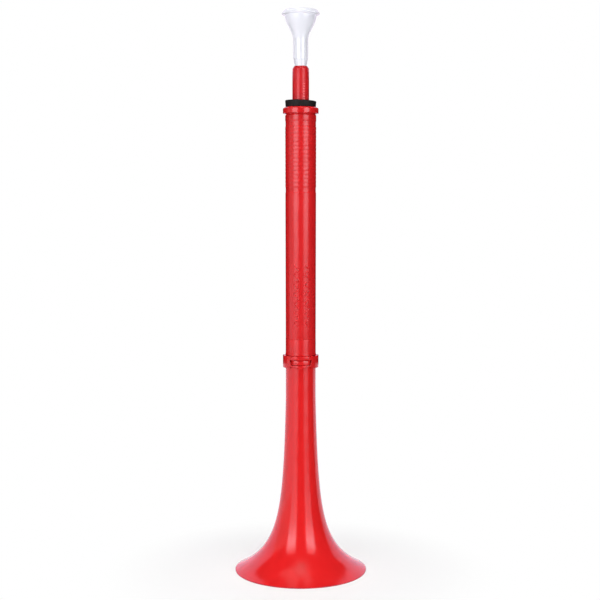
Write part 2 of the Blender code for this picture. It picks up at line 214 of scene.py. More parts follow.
def make_moulded_skin():
    group = bpy.data.node_groups.new("moulded_skin", "ShaderNodeTree")
    for label, value in SKIN_INPUTS.items():
        socket = group.interface.new_socket(label, in_out="INPUT", socket_type="NodeSocketFloat")
        socket.default_value = value
    for label in ("Mottle", "Roughness", "Height"):
        group.interface.new_socket(label, in_out="OUTPUT", socket_type="NodeSocketFloat")
    given = add_node(group, "NodeGroupInput").outputs
    wanted = add_node(group, "NodeGroupOutput").inputs

    place = object_place(group)
    sink = noise(group, place, scale=55.0, detail=1.0, stretch=(1.0, 1.0, 1.4))
    grain = noise(group, place, scale=1400.0, detail=2.0)
    scratch = noise(group, place, scale=900.0, detail=2.0, stretch=(1.0, 1.0, 0.03))
    blotch = noise(group, place, scale=120.0, detail=4.0, stretch=(1.0, 1.0, 0.5))
    hair = map_range(group, scratch, 0.66, 0.72)

    off_middle = arithmetic(group, "SUBTRACT", blotch, 0.5)
    spread = arithmetic(group, "MULTIPLY", off_middle, given["Roughness Spread"])
    dull = arithmetic(group, "MULTIPLY", hair, SCRATCH_DULLNESS)
    waves = arithmetic(group, "MULTIPLY", sink, given["Sink Depth"])
    fine = arithmetic(group, "MULTIPLY", grain, GRAIN_HEIGHT, given["Grain Depth"])
    cut = arithmetic(group, "MULTIPLY", hair, SCRATCH_HEIGHT)
    feed(group, wanted["Mottle"], blotch)
    feed(group, wanted["Roughness"], arithmetic(group, "ADD", given["Base Roughness"], spread, dull))
    feed(group, wanted["Height"], arithmetic(group, "ADD", waves, fine, cut))
    return group


moulded_skin = make_moulded_skin()
print("group", moulded_skin.name, "with", len(moulded_skin.nodes), "nodes")

# %% [markdown]
# Every plastic and rubber here is the same recipe with other numbers: a pair of close colours mixed by
# the mottle, a roughness, and a bump from the height. The bump's distance is in metres, so it is tiny.
# The bell's red is lighter and glossier than the barrel's satin red: partly its own tone and partly
# painted light for the stronger light on the flare. The bung rubs the slide tube dull. The lugs that
# turn in the collar are polished, and their lighter red is painted light against the shade in the
# windows. The pale pink of the tube's marks is a painted highlight.

# %% Recipe for a moulded material
PLASTIC_IOR = 1.47
BUMP_DISTANCE = 0.00025
PLAIN_RED = ((0.60, 0.010, 0.012), (0.675, 0.014, 0.016))
BELL_RED = ((0.65, 0.012, 0.013), (0.735, 0.016, 0.017))
TUBE_RED = ((0.57, 0.010, 0.014), (0.65, 0.014, 0.018))
LUG_LIT_RED = ((0.72, 0.018, 0.020), (0.80, 0.024, 0.026))
MARK_HIGHLIGHT_RED = ((0.72, 0.075, 0.080), (0.80, 0.110, 0.115))
COOL_WHITE = ((0.86, 0.87, 0.95), (0.90, 0.91, 0.98))
IVORY = ((0.78, 0.77, 0.72), (0.84, 0.83, 0.79))
NEAR_BLACK = ((0.007, 0.006, 0.006), (0.014, 0.011, 0.010))


def moulded_material(name, shades, roughness, spread, shine=0.5, sink=1.0, grain=1.0):
    material, tree, shader = new_material(name)
    skin = add_node(tree, "ShaderNodeGroup", node_tree=moulded_skin)
    for label, value in zip(SKIN_INPUTS, (roughness, spread, sink, grain)):
        skin.inputs[label].default_value = value
    deep, light = ((*shade, 1.0) for shade in shades)
    height = {"Strength": 1.0, "Distance": BUMP_DISTANCE, "Height": skin.outputs["Height"]}
    looks = {
        "Metallic": 0.0,
        "IOR": PLASTIC_IOR,
        "Specular IOR Level": shine,
        "Base Color": mix_colours(tree, skin.outputs["Mottle"], deep, light),
        "Roughness": skin.outputs["Roughness"],
        "Normal": add_node(tree, "ShaderNodeBump", height).outputs["Normal"],
    }
    for label, look in looks.items():
        feed(tree, shader.inputs[label], look)
    return material


red_plastic = moulded_material("glossy_red", PLAIN_RED, 0.19, 0.08)
# The bell's lighter red is partly its own tone and partly painted light for the stronger light on the
# flare.
bell_plastic = moulded_material("bell_red", BELL_RED, 0.14, 0.06)
barrel_plastic = moulded_material("satin_red", PLAIN_RED, 0.235, 0.08)
tube_plastic = moulded_material("rubbed_red", TUBE_RED, 0.29, 0.10, shine=0.36, sink=0.4)
# The lugs' lighter red is painted light against the shade in the collar's windows.
polished_lit_plastic = moulded_material("polished_lit_red", LUG_LIT_RED, 0.13, 0.05)
# The marks' pale pink is a painted highlight.
mark_highlight_plastic = moulded_material("painted_highlight_red", MARK_HIGHLIGHT_RED, 0.32, 0.08)
white_plastic = moulded_material("glossy_white", COOL_WHITE, 0.17, 0.06, shine=0.7, sink=0.6)
inner_plastic = moulded_material("plain_ivory", IVORY, 0.42, 0.10, sink=0.5)
print("reds:", red_plastic.name, bell_plastic.name, barrel_plastic.name, tube_plastic.name)
print("others:", polished_lit_plastic.name, mark_highlight_plastic.name, white_plastic.name, inner_plastic.name)

# %% [markdown]
# The rim's edge gets a darker, duller line, broken up by noise. The darkening is painted shade along
# the lip; the dullness is added roughness. The mask is the height above the table, times the noise. It
# darkens the colour and adds to the roughness of the bell's own material.

# %% Painted shade on the rim
RIM_SHADE_TOP = 1.5 * MM
RIM_SHADE_FOOT = 0.5 * MM
RIM_SHADE_COLOUR = (0.27, 0.012, 0.030, 1.0)
RIM_SHADE_DULLNESS = 0.3


def lay_over(tree, shader, mask, colour):
    """Mixes a second colour into the shader's own."""
    target = shader.inputs["Base Color"]
    feed(tree, target, mix_colours(tree, mask, target.links[0].from_socket, colour))


def add_scuffs(material):
    tree = material.node_tree
    shader = tree.nodes["Principled BSDF"]
    place = object_place(tree)
    low = map_range(tree, height_in(tree, place), RIM_SHADE_TOP, RIM_SHADE_FOOT, curve="SMOOTHSTEP")
    breaks = noise(tree, place, scale=90.0, detail=5.0)
    patchy = map_range(tree, breaks, 0.35, 0.6, to_low=0.25, to_high=0.85)
    rim_shade = arithmetic(tree, "MULTIPLY", low, patchy)
    # Painted shade: the rim's edge is darkened where the mask is high.
    lay_over(tree, shader, rim_shade, RIM_SHADE_COLOUR)
    smooth = shader.inputs["Roughness"].links[0].from_socket
    duller = arithmetic(tree, "MULTIPLY", rim_shade, RIM_SHADE_DULLNESS)
    feed(tree, shader.inputs["Roughness"], arithmetic(tree, "ADD", smooth, duller))


add_scuffs(bell_plastic)
# Prints the height up to which the rim's edge carries painted shade.
print("the rim is scuffed up to", round(RIM_SHADE_TOP / MM, 1), "mm")

# %% [markdown]
# Rubber is dull, nearly black and a little brown, and it holds dust. The dust is a scatter of soft
# specks that lightens the colour; it comes from cells, thinned out by a slow noise.

# %% Rubber
DUST_COLOUR = (0.12, 0.115, 0.11, 1.0)


def make_rubber():
    material = moulded_material("dull_rubber", NEAR_BLACK, 0.62, 0.16, shine=0.22, grain=5.0)
    tree = material.node_tree
    place = object_place(tree)
    cells = add_node(tree, "ShaderNodeTexVoronoi", {"Vector": place, "Scale": 900.0}, feature="F1")
    speck = map_range(tree, cells.outputs["Distance"], 0.22, 0.10)
    drift = arithmetic(tree, "POWER", noise(tree, place, scale=260.0, detail=2.0), 4.0)
    dust = arithmetic(tree, "MULTIPLY", speck, drift)
    lay_over(tree, tree.nodes["Principled BSDF"], dust, DUST_COLOUR)
    return material


black_rubber = make_rubber()
print("rubber:", black_rubber.name)

# %% [markdown]
# These helpers put finished meshes into the scene, and lay faces between rows of points.

# %% Helpers for meshes


def add_object(name, data):
    thing = bpy.data.objects.new(name, data)
    bpy.context.scene.collection.objects.link(thing)
    return thing


def finished(name, mesh):
    """An object from a bmesh, which isn't needed after this."""
    data = bpy.data.meshes.new(name)
    mesh.to_mesh(data)
    mesh.free()
    return add_object(name, data)


def join_rows(mesh, rows, closed=False):
    """Faces from each row to the next; where rows are closed, also from their last point to the first."""
    for lower, upper in zip(rows, rows[1:]):
        for i in range(len(lower) if closed else len(lower) - 1):
            beside = (i + 1) % len(lower)
            mesh.faces.new((lower[i], lower[beside], upper[beside], upper[i]))


def evaluated_mesh(thing):
    """A plain mesh of what an object looks like with its modifiers."""
    bpy.context.view_layer.update()
    return bpy.data.meshes.new_from_object(thing.evaluated_get(bpy.context.evaluated_depsgraph_get()))


print("mesh helpers ready")

# %% [markdown]
# Most pieces are turned: an outline of radius and height, spun round the axis. Real mouldings have no
# knife edges, so each corner of an outline can carry a rounding, and the helper swaps it for a short
# curve. The outline runs down the outside and back up the inside, which keeps the faces pointing out.

# %% Helpers for turned pieces
BELL_SIDES = 192
ROUND_SIDES = 128
CUP_SIDES = 112
SMALL_SIDES = 96


def rounded(corners, steps=4):
    """Points of a closed outline from (radius, height, rounding) corners."""
    points = []
    count = len(corners)
    for i, (r, z, rounding) in enumerate(corners):
        here = Vector((r, z))
        if rounding == 0:
            points.append(here)
            continue
        before = Vector(corners[i - 1][:2]) - here
        after = Vector(corners[(i + 1) % count][:2]) - here
        enter = here + before.normalized() * min(rounding, before.length * 0.48)
        leave = here + after.normalized() * min(rounding, after.length * 0.48)
        for step in range(steps + 1):
            t = step / steps
            points.append(enter * (1 - t) ** 2 + here * (2 * t * (1 - t)) + leave * t ** 2)
    return [(point.x, point.y) for point in points]


def turned(name, outline, sides=ROUND_SIDES):
    """Spins a closed outline of (radius, height) round the axis."""
    mesh = bpy.data.meshes.new(name)
    edges = [(i, (i + 1) % len(outline)) for i in range(len(outline))]
    mesh.from_pydata([(r, 0, z) for r, z in outline], edges, [])
    piece = add_object(name, mesh)
    screw = piece.modifiers.new("turn", "SCREW")
    screw.axis = "Z"
    screw.steps = sides
    screw.render_steps = sides
    screw.use_merge_vertices = True
    screw.merge_threshold = 0.000001
    screw.use_smooth_shade = True
    return piece


def settle(piece, sharp_above=32):
    """Turns a piece's modifiers into plain mesh, shaded smooth but for its corners."""
    made = evaluated_mesh(piece)
    piece.modifiers.clear()
    piece.data = made
    made.shade_smooth()
    made.set_sharp_from_angle(angle=math.radians(sharp_above))
    return piece


def even_light(piece):
    """Weighs normals by face size, so that flats look flat beside their rounded edges."""
    weighted = piece.modifiers.new("even_light", "WEIGHTED_NORMAL")
    weighted.keep_sharp = True
    weighted.weight = 100


def dress(piece, node, body, material):
    """The piece takes the place of a frame node, and rides with its body."""
    piece.data.materials.clear()
    piece.data.materials.append(material)
    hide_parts(node)
    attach(piece, body)
    size = piece.dimensions / MM
    print(piece.name, "is", round(size.x, 1), "x", round(size.y, 1), "x", round(size.z, 1), "mm")


print("a turned piece has", ROUND_SIDES, "sides")

# %% [markdown]
# The bell is one thin moulding. Its flare is two curves added together: a slow one that opens the long
# throat and a quick one that throws out the lip. The inside is the same curve moved inwards by the
# wall, square to the surface. The lip is rounded, so that it catches a thin line of light.

# %% Bell
RIM_RADIUS, _, NECK_TOP = sizes_of("bell")
LIP_HEIGHT = 1.0 * MM
NECK_FOOT = 172.0 * MM
SLOW_FLARE = 16.86 * MM
SLOW_LENGTH = 68.5 * MM
QUICK_FLARE = 34.42 * MM
QUICK_LENGTH = 20.0 * MM
FLARE_STEPS = 60
NUDGE = 0.01 * MM


def flare_radius(height):
    rise = height - LIP_HEIGHT
    base = RIM_RADIUS - SLOW_FLARE - QUICK_FLARE
    slow = SLOW_FLARE * math.exp(-rise / SLOW_LENGTH)
    quick = QUICK_FLARE * math.exp(-rise / QUICK_LENGTH)
    return max(base + slow + quick, NECK_RADIUS)


def bell_corners():
    outer = []
    inner = []
    for i in range(FLARE_STEPS + 1):
        height = LIP_HEIGHT + (NECK_FOOT - LIP_HEIGHT) * (i / FLARE_STEPS) ** 2
        radius = flare_radius(height)
        outer.append((radius, height, 0))
        slope = (flare_radius(height + NUDGE) - radius) / NUDGE
        length = math.hypot(1, slope)
        inner.append((radius - BELL_WALL / length, height + BELL_WALL * slope / length, 0))
    inner = [corner for corner in inner if corner[1] > 0.9 * LIP_HEIGHT]
    mouth = inner[0][0] + 1.2 * MM
    top = [(NECK_RADIUS, NECK_TOP, 0.4 * MM)]
    lip = [(RIM_RADIUS, 0, 0.45 * MM), (mouth, 0, 0.8 * MM)]
    return top + outer[::-1] + lip + inner + [(NECK_BORE, NECK_TOP, 0.3 * MM)]


bell = turned("bell_shell", rounded(bell_corners(), steps=5), BELL_SIDES)
even_light(bell)
dress(bell, "bell", "bell_body", bell_plastic)

# %% [markdown]
# The barrel is a long tube that narrows slightly to its foot, as a long moulding must to leave its tool.
# Right under the cap it has a narrow neck. Two shallow grooves mark off the grip, and between them stand
# low rings, with a soft, narrow dip between each two. They barely show in the outline, but they break up
# the highlights.

# %% Barrel
BARREL_RADIUS_TOP, BARREL_FOOT, BARREL_TOP = sizes_of("barrel")
BARREL_RADIUS_FOOT = 14.62 * MM
CAP_RADIUS, CAP_FOOT, CAP_TOP = sizes_of("barrel_cap")
GROOVE_DEPTH = 0.28 * MM
GROOVE_EDGE = 0.5 * MM
UPPER_GROOVE = (434.5 * MM, 440.5 * MM)
LOWER_GROOVE = (371.3 * MM, 377.0 * MM)
RING_PITCH = 3.95 * MM
RING_DEPTH = 0.15 * MM
RING_GAP = 2.2 * MM
RING_MARGIN = 1.2 * MM
DIP_STEPS = 4
TURN_IN = 0.14 * MM
NECK_DEPTH = 0.9 * MM
NECK_HEIGHT = 1.8 * MM


def barrel_radius(height):
    share = (height - BARREL_FOOT) / (BARREL_TOP - BARREL_FOOT)
    return BARREL_RADIUS_FOOT + (BARREL_RADIUS_TOP - BARREL_RADIUS_FOOT) * share


def groove(low, high):
    """Four corners of a shallow groove, from its upper edge down."""
    return [
        (barrel_radius(high), high, GROOVE_EDGE),
        (barrel_radius(high) - GROOVE_DEPTH, high - GROOVE_EDGE, GROOVE_EDGE),
        (barrel_radius(low) - GROOVE_DEPTH, low + GROOVE_EDGE, GROOVE_EDGE),
        (barrel_radius(low), low, GROOVE_EDGE),
    ]


def rings(low, high):
    """The dips between the grip rings, from the top down."""
    room = high - low - 2 * RING_MARGIN
    count = round(room / RING_PITCH)
    pitch = room / count
    corners = []
    for ring in range(count):
        middle = high - RING_MARGIN - (ring + 0.5) * pitch
        for step in range(-DIP_STEPS, DIP_STEPS + 1):
            share = step / (2 * DIP_STEPS)
            height = middle - share * RING_GAP
            dip = RING_DEPTH * math.cos(math.pi * share) ** 2
            corners.append((barrel_radius(height) - dip, height, 0))
    print(count, "grip rings at", round(pitch / MM, 2), "mm")
    return corners


barrel_corners = [
    (BARREL_RADIUS_TOP - TURN_IN, BARREL_TOP, 0.2 * MM),
    (BARREL_RADIUS_TOP - TURN_IN, CAP_FOOT + 0.4 * MM, 0.2 * MM),
    (BARREL_RADIUS_TOP - NECK_DEPTH, CAP_FOOT - 0.1 * MM, 0.2 * MM),
    (BARREL_RADIUS_TOP - NECK_DEPTH, CAP_FOOT - 0.8 * MM, 0.2 * MM),
    (BARREL_RADIUS_TOP, CAP_FOOT - NECK_HEIGHT, 0.3 * MM),
]
barrel_corners += groove(*UPPER_GROOVE)
barrel_corners += rings(LOWER_GROOVE[1], UPPER_GROOVE[0])
barrel_corners += groove(*LOWER_GROOVE)
barrel_corners += [
    (BARREL_RADIUS_FOOT, BARREL_FOOT, 0.1 * MM),
    (BARREL_BORE, BARREL_FOOT, 0.2 * MM),
    (BARREL_BORE, BARREL_TOP, 0.2 * MM),
]
barrel = turned("barrel_tube", rounded(barrel_corners))
dress(barrel, "barrel", "barrel_body", barrel_plastic)

# %% [markdown]
# Two raised wavy beads stand on the lower half of the barrel, where a hand holds it, so that wet fingers
# don't slip. A bead follows a sine wave laid on the tube. Each row has five points across it, the middle
# ones pushed out and the outer ones sunk, so that the bead grows softly out of the barrel and catches
# the light on its slopes. At both ends it sinks away. Its underside is closed, inside the barrel's wall.

# %% Wavy grip beads
BEAD_ANGLES = (math.radians(-16.5), math.radians(24.0))
BEAD_LOW = 238.5 * MM
BEAD_LENGTH = 65.5 * MM
WAVE_COUNT = 7
WAVE_REACH = 2.1 * MM
BEAD_WIDTH = 1.6 * MM
BEAD_RISE = 0.5 * MM
BEAD_SINK = 0.3
FADES_A_WAVE = 3
BEAD_STATIONS = ((-1.0, -0.2), (-0.55, 0.8), (0.0, 1.0), (0.55, 0.8), (1.0, -0.2))
STEPS_A_WAVE = 20


def wave_point(share):
    """A place on the wave, and the direction across the bead there."""
    turn = math.tau * WAVE_COUNT * share
    slope = math.tau * WAVE_COUNT * WAVE_REACH * math.cos(turn) / BEAD_LENGTH
    size = math.hypot(1, slope)
    return WAVE_REACH * math.sin(turn), BEAD_LOW + BEAD_LENGTH * share, (1 / size, -slope / size)


def bead_row(mesh, angle, share):
    across, height, side = wave_point(share)
    fade = min(1, FADES_A_WAVE * WAVE_COUNT * min(share, 1 - share))
    row = []
    for offset, rise in BEAD_STATIONS:
        reach = offset * BEAD_WIDTH / 2
        place = height + reach * side[1]
        radius = barrel_radius(place) + BEAD_RISE * (rise * fade - BEAD_SINK * (1 - fade))
        turn = angle + (across + reach * side[0]) / BARREL_RADIUS_FOOT
        row.append(mesh.verts.new((radius * math.sin(turn), -radius * math.cos(turn), place)))
    return row


def make_grip_beads():
    mesh = bmesh.new()
    steps = WAVE_COUNT * STEPS_A_WAVE
    for angle in BEAD_ANGLES:
        rows = [bead_row(mesh, angle, i / steps) for i in range(steps + 1)]
        join_rows(mesh, rows, closed=True)
        mesh.faces.new(rows[0][::-1])
        mesh.faces.new(rows[-1])
    beads = finished("grip_beads", mesh)
    beads.data.shade_smooth()
    beads.data.set_sharp_from_angle(angle=math.radians(60))
    print(len(BEAD_ANGLES), "beads with", WAVE_COUNT, "waves each")
    return beads


grip_beads = make_grip_beads()
grip_beads.data.materials.append(barrel_plastic)
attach(grip_beads, "barrel_body")

# %% [markdown]
# The cap is a ring with a coned top edge that closes the barrel. The rubber bung sits on it: what shows
# is a flat collar round the slide, a hair crooked, because rubber never seats quite true. Its hidden
# waist and shoulder stay straight, so only the points above the cap are leaned.

# %% Cap and bung
CAP_FACE = CAP_TOP - 0.4 * MM
CAP_SHOULDER = 452.3 * MM
CAP_HOLE = 11.3 * MM
BUNG_RADIUS, BUNG_FOOT, BUNG_TOP = sizes_of("slide_bung")
BUNG_FACE = BUNG_TOP + 0.6 * MM
BUNG_SEAT = CAP_FACE + 0.1 * MM
BUNG_LEAN = math.radians(2.0)

cap_bore = BARREL_RADIUS_TOP + 0.35 * MM
cap_corners = [
    (CAP_RADIUS - 1.9 * MM, CAP_FACE, 0.3 * MM),
    (CAP_RADIUS, CAP_SHOULDER, 0.5 * MM),
    (CAP_RADIUS, CAP_FOOT, 0.35 * MM),
    (cap_bore, CAP_FOOT, 0.2 * MM),
    (cap_bore, BARREL_TOP + GAP, 0.2 * MM),
    (CAP_HOLE, BARREL_TOP + GAP, 0.2 * MM),
    (CAP_HOLE, CAP_FACE, 0.2 * MM),
]
cap = turned("cap_ring", rounded(cap_corners))
even_light(cap)
dress(cap, "barrel_cap", "barrel_body", red_plastic)

waist = CAP_HOLE - GAP
shoulder = BARREL_BORE - 0.45 * MM
bung_bore = TUBE_RADIUS + GAP
bung_corners = [
    (BUNG_RADIUS, BUNG_FACE, 0.9 * MM),
    (BUNG_RADIUS - 0.55 * MM, BUNG_SEAT, 0.4 * MM),
    (waist, BUNG_SEAT, 0.1 * MM),
    (waist, BARREL_TOP, 0.2 * MM),
    (shoulder, BARREL_TOP, 0.3 * MM),
    (shoulder, BUNG_FOOT, 0.4 * MM),
    (bung_bore, BUNG_FOOT, 0.2 * MM),
    (bung_bore, BUNG_FACE, 0.7 * MM),
]
bung = settle(turned("bung_ring", rounded(bung_corners)))
for vertex in bung.data.vertices:
    rise = vertex.co.z - CAP_TOP - GAP
    if rise > 0:
        share = min(rise / (BUNG_TOP - CAP_TOP), 1)
        vertex.co.z -= share * math.tan(BUNG_LEAN) * vertex.co.x
dress(bung, "slide_bung", "barrel_body", black_rubber)

# %% [markdown]
# Some pieces are cut after they are turned. Cutters are drawn as flat outlines and given thickness. A
# cut can leave points in one place, which are joined. A small bevel over all the cut edges then gives
# them the soft corners of a moulding.

# %% Helpers for cut pieces
WELD_REACH = 0.005 * MM


def flat_solid(name, outlines, low, high, upright):
    """A solid from flat outlines: in XY between two heights, or in XZ between two depths."""
    push = (0, high - low, 0) if upright else (0, 0, high - low)
    mesh = bmesh.new()
    for outline in outlines:
        points = [(a, low, b) if upright else (a, b, low) for a, b in outline]
        face = mesh.faces.new([mesh.verts.new(point) for point in points])
        grown = bmesh.ops.extrude_face_region(mesh, geom=[face])
        moved = [item for item in grown["geom"] if isinstance(item, bmesh.types.BMVert)]
        bmesh.ops.translate(mesh, verts=moved, vec=push)
    bmesh.ops.recalc_face_normals(mesh, faces=mesh.faces)
    return finished(name, mesh)


def combine(piece, other, operation):
    """Cuts, joins or intersects, and then removes the other piece."""
    boolean = piece.modifiers.new(operation, "BOOLEAN")
    boolean.operation = operation
    boolean.solver = "EXACT"
    boolean.object = other
    settle(piece)
    bpy.data.objects.remove(other)
    return piece


def wedge(middle, half, inner, outer):
    low, high = middle - half, middle + half
    corners = [(inner, low), (outer, low), (outer, high), (inner, high)]
    return [(radius * math.cos(angle), radius * math.sin(angle)) for radius, angle in corners]


def ring_pieces(name, inner, outer, low, high, middle, half, lean=0.0):
    """Two opposite stretches of a ring, whose outer face may lean in at its top."""
    ring = settle(turned(name, [(outer - lean, high), (outer, low), (inner, low), (inner, high)]))
    outlines = [wedge(middle + side, half, inner / 2, outer * 2) for side in (0, math.pi)]
    slices = flat_solid(name + "_slices", outlines, low - MM, high + MM, upright=False)
    return combine(ring, slices, "INTERSECT")


def weld(piece):
    """Joins points that a cut has left in one place, and drops faces without area."""
    mesh = bmesh.new()
    mesh.from_mesh(piece.data)
    bmesh.ops.remove_doubles(mesh, verts=mesh.verts, dist=WELD_REACH)
    bmesh.ops.dissolve_degenerate(mesh, edges=mesh.edges, dist=WELD_REACH)
    mesh.to_mesh(piece.data)
    mesh.free()


def soften(piece, width):
    """Bevels the cut edges of a piece."""
    weld(piece)
    bevel = piece.modifiers.new("soft_edges", "BEVEL")
    bevel.width = width
    bevel.segments = 2
    bevel.limit_method = "ANGLE"
    bevel.angle_limit = math.radians(40)
    bevel.miter_outer = "MITER_ARC"
    settle(piece, 40)
    weld(piece)
    return piece


print("cutting helpers ready")

# %% [markdown]
# The joint collar holds the barrel's lugs. It is turned first. Then its windows, the notches in its
# lower edge and the ways in for the lugs are cut, and the tabs and the stops are joined on.

# %% Joint collar
COLLAR_RADIUS = 17.4 * MM
COLLAR_TOP = sizes_of("joint_collar")[2]
COLLAR_FOOT = 201.7 * MM
CHAMBER_RADIUS = 15.2 * MM
CHAMBER_CEILING = 210.3 * MM
WINDOW_FOOT = 204.6 * MM
WINDOW_TOP = 209.9 * MM
WINDOW_HALF_TOP = 10.7 * MM
WINDOW_HALF_FOOT = 9.3 * MM
LIP_EDGE = 203.3 * MM
NOTCH_HALF_TOP = 10.4 * MM
NOTCH_HALF_FOOT = 11.3 * MM
TAB_FOOT = 200.95 * MM
TAB_HALF = 5.2 * MM
TAB_RADIUS = 17.75 * MM
TAB_STEPS = 12
LUG_HALF_ANGLE = math.radians(40)
STOP_ANGLE = math.radians(45)
STOP_HALF_ANGLE = math.radians(3.5)
CLEAR = 0.1 * MM


def tapered(half, edge, other_half, other_edge):
    """An upright outline with sloping sides between two edges, given by half their width and height."""
    return [(-half, edge), (half, edge), (other_half, other_edge), (-other_half, other_edge)]


def tab_outline():
    """The rounded tab under a window: an arc through its foot and the edge of the lip."""
    drop = LIP_EDGE - TAB_FOOT
    radius = (TAB_HALF ** 2 + drop ** 2) / (2 * drop)
    reach = math.asin(TAB_HALF / radius)
    arc = []
    for i in range(TAB_STEPS + 1):
        angle = reach - 2 * reach * i / TAB_STEPS
        arc.append((radius * math.sin(angle), TAB_FOOT + radius * (1 - math.cos(angle))))
    top = WINDOW_FOOT - 0.15 * MM
    return [(TAB_HALF, top)] + arc + [(-TAB_HALF, top)]


def through(piece, name, outline, operation):
    """Cuts an upright outline through from front to back, or keeps only what is inside it."""
    reach = COLLAR_RADIUS + 2 * MM
    combine(piece, flat_solid(name, [outline], -reach, reach, upright=True), operation)


def make_collar():
    neck = NECK_RADIUS + GAP
    shaft = SHAFT_RADIUS + GAP
    corners = [
        (COLLAR_RADIUS, COLLAR_TOP, 0.4 * MM),
        (COLLAR_RADIUS, COLLAR_FOOT, 0.2 * MM),
        (neck, COLLAR_FOOT, 0.2 * MM),
        (neck, NECK_TOP, 0),
        (CHAMBER_RADIUS, NECK_TOP, 0),
        (CHAMBER_RADIUS, CHAMBER_CEILING, 0),
        (shaft, CHAMBER_CEILING, 0),
        (shaft, COLLAR_TOP, 0.2 * MM),
    ]
    collar = settle(turned("collar_ring", rounded(corners, steps=3)))
    window = tapered(WINDOW_HALF_TOP, WINDOW_TOP, WINDOW_HALF_FOOT, WINDOW_FOOT)
    notch = tapered(NOTCH_HALF_FOOT, COLLAR_FOOT - MM, NOTCH_HALF_TOP, LIP_EDGE)
    through(collar, "windows", window, "DIFFERENCE")
    through(collar, "notches", notch, "DIFFERENCE")

    tab_low = TAB_FOOT - MM
    inside = neck + GAP
    tab_ring = [(TAB_RADIUS, WINDOW_FOOT), (TAB_RADIUS, tab_low), (inside, tab_low), (inside, WINDOW_FOOT)]
    tabs = settle(turned("tabs", tab_ring))
    through(tabs, "tab_shape", tab_outline(), "INTERSECT")
    combine(collar, tabs, "UNION")

    entries = ring_pieces(
        "entries", SHAFT_RADIUS - 2 * MM, CHAMBER_RADIUS - CLEAR,
        CHAMBER_CEILING - 0.5 * MM, COLLAR_TOP + MM, 0.0, LUG_HALF_ANGLE + math.radians(1))
    combine(collar, entries, "DIFFERENCE")
    stops = ring_pieces(
        "stops", shaft + CLEAR, CHAMBER_RADIUS + 0.6 * MM,
        NECK_TOP + 0.4 * MM, CHAMBER_CEILING + 0.6 * MM, STOP_ANGLE, STOP_HALF_ANGLE)
    combine(collar, stops, "UNION")
    return soften(collar, 0.22 * MM)


collar = make_collar()
dress(collar, "joint_collar", "bell_body", red_plastic)

# %% [markdown]
# The barrel's foot is one moulding with three jobs: the sleeve outside, a hair wider than the barrel and
# with a little swelling at its end; the tenon inside the barrel; and the spigot in the bell's neck, with
# a groove for its seal. Its two lugs show through the windows of the collar. Their outer faces are
# polished, and their lighter red is painted light against the shade in the windows.

# %% Spigot and its seal
SPIGOT_FOOT, TENON_TOP = sizes_of("joint_spigot")[1:]
SLEEVE_FOOT = 213.56 * MM
SLEEVE_TOP = BARREL_FOOT - 0.08 * MM
SLEEVE_RADIUS = 14.68 * MM
SLEEVE_SWELL = 0.17 * MM
SPIGOT_RADIUS = 12.3 * MM
LUG_RADIUS = CHAMBER_RADIUS - CLEAR
LUG_FOOT = 204.8 * MM
LUG_TOP = 209.15 * MM
LUG_LEAN = 0.4 * MM
JOINT_SEAL_HEIGHT = middle_of("joint_seal")
JOINT_SEAL_SECTION = 0.7 * MM
SEAL_STEPS = 24
SEAL_SLACK = 0.97
FLASH_LINE = 1.04


def seal_groove(radius, bore, height, section):
    """Four corners of a seal's groove, from its upper edge down."""
    floor = bore - 2 * GAP - 2 * section
    half = section + GAP
    return [
        (radius, height + half, 0.15 * MM),
        (floor, height + half, 0),
        (floor, height - half, 0),
        (radius, height - half, 0.15 * MM),
    ]


def seal_ring(name, bore, height, section):
    """A rubber ring of round section, with the fine flash line of its mould round the outside."""
    radius = bore - GAP - section
    outline = []
    for i in range(SEAL_STEPS):
        angle = math.tau * (0.5 - i) / SEAL_STEPS
        bulge = section * SEAL_SLACK * (FLASH_LINE if i in (0, 1) else 1.0)
        outline.append((radius + bulge * math.cos(angle), height + bulge * math.sin(angle)))
    return turned(name, outline, SMALL_SIDES)


def make_spigot():
    corners = [
        (BARREL_BORE - GAP, TENON_TOP, 0.4 * MM),
        (BARREL_BORE - GAP, SLEEVE_TOP, 0),
        (SLEEVE_RADIUS, SLEEVE_TOP, 0.1 * MM),
        (SLEEVE_RADIUS, SLEEVE_FOOT + 2.6 * MM, 1.2 * MM),
        (SLEEVE_RADIUS + SLEEVE_SWELL, SLEEVE_FOOT + 1.2 * MM, 0.6 * MM),
        (SLEEVE_RADIUS + SLEEVE_SWELL, SLEEVE_FOOT, 0.2 * MM),
        (SHAFT_RADIUS, SLEEVE_FOOT, 0),
        (SHAFT_RADIUS, NECK_TOP + 0.4 * MM, 0),
        (SPIGOT_RADIUS, NECK_TOP - 0.2 * MM, 0),
    ]
    corners += seal_groove(SPIGOT_RADIUS, NECK_BORE, JOINT_SEAL_HEIGHT, JOINT_SEAL_SECTION)
    corners += [
        (SPIGOT_RADIUS, SPIGOT_FOOT, 0.7 * MM),
        (SPIGOT_BORE, SPIGOT_FOOT, 0.5 * MM),
        (SPIGOT_BORE, TENON_TOP, 0.7 * MM),
    ]
    spigot = settle(turned("spigot_sleeve", rounded(corners)))
    lugs = ring_pieces(
        "lugs", SHAFT_RADIUS - 0.5 * MM, LUG_RADIUS,
        LUG_FOOT, LUG_TOP, math.radians(90), LUG_HALF_ANGLE, LUG_LEAN)
    combine(spigot, lugs, "UNION")
    return soften(spigot, 0.15 * MM)


def polish_lugs(spigot):
    """The lugs' outer faces are rubbed to a shine by the collar; their lighter red is painted light
    against the shade in the windows.
    """
    spigot.data.materials.append(polished_lit_plastic)
    for face in spigot.data.polygons:
        out = math.hypot(face.center.x, face.center.y)
        if out > LUG_RADIUS - LUG_LEAN - CLEAR and LUG_FOOT < face.center.z < LUG_TOP:
            face.material_index = 1


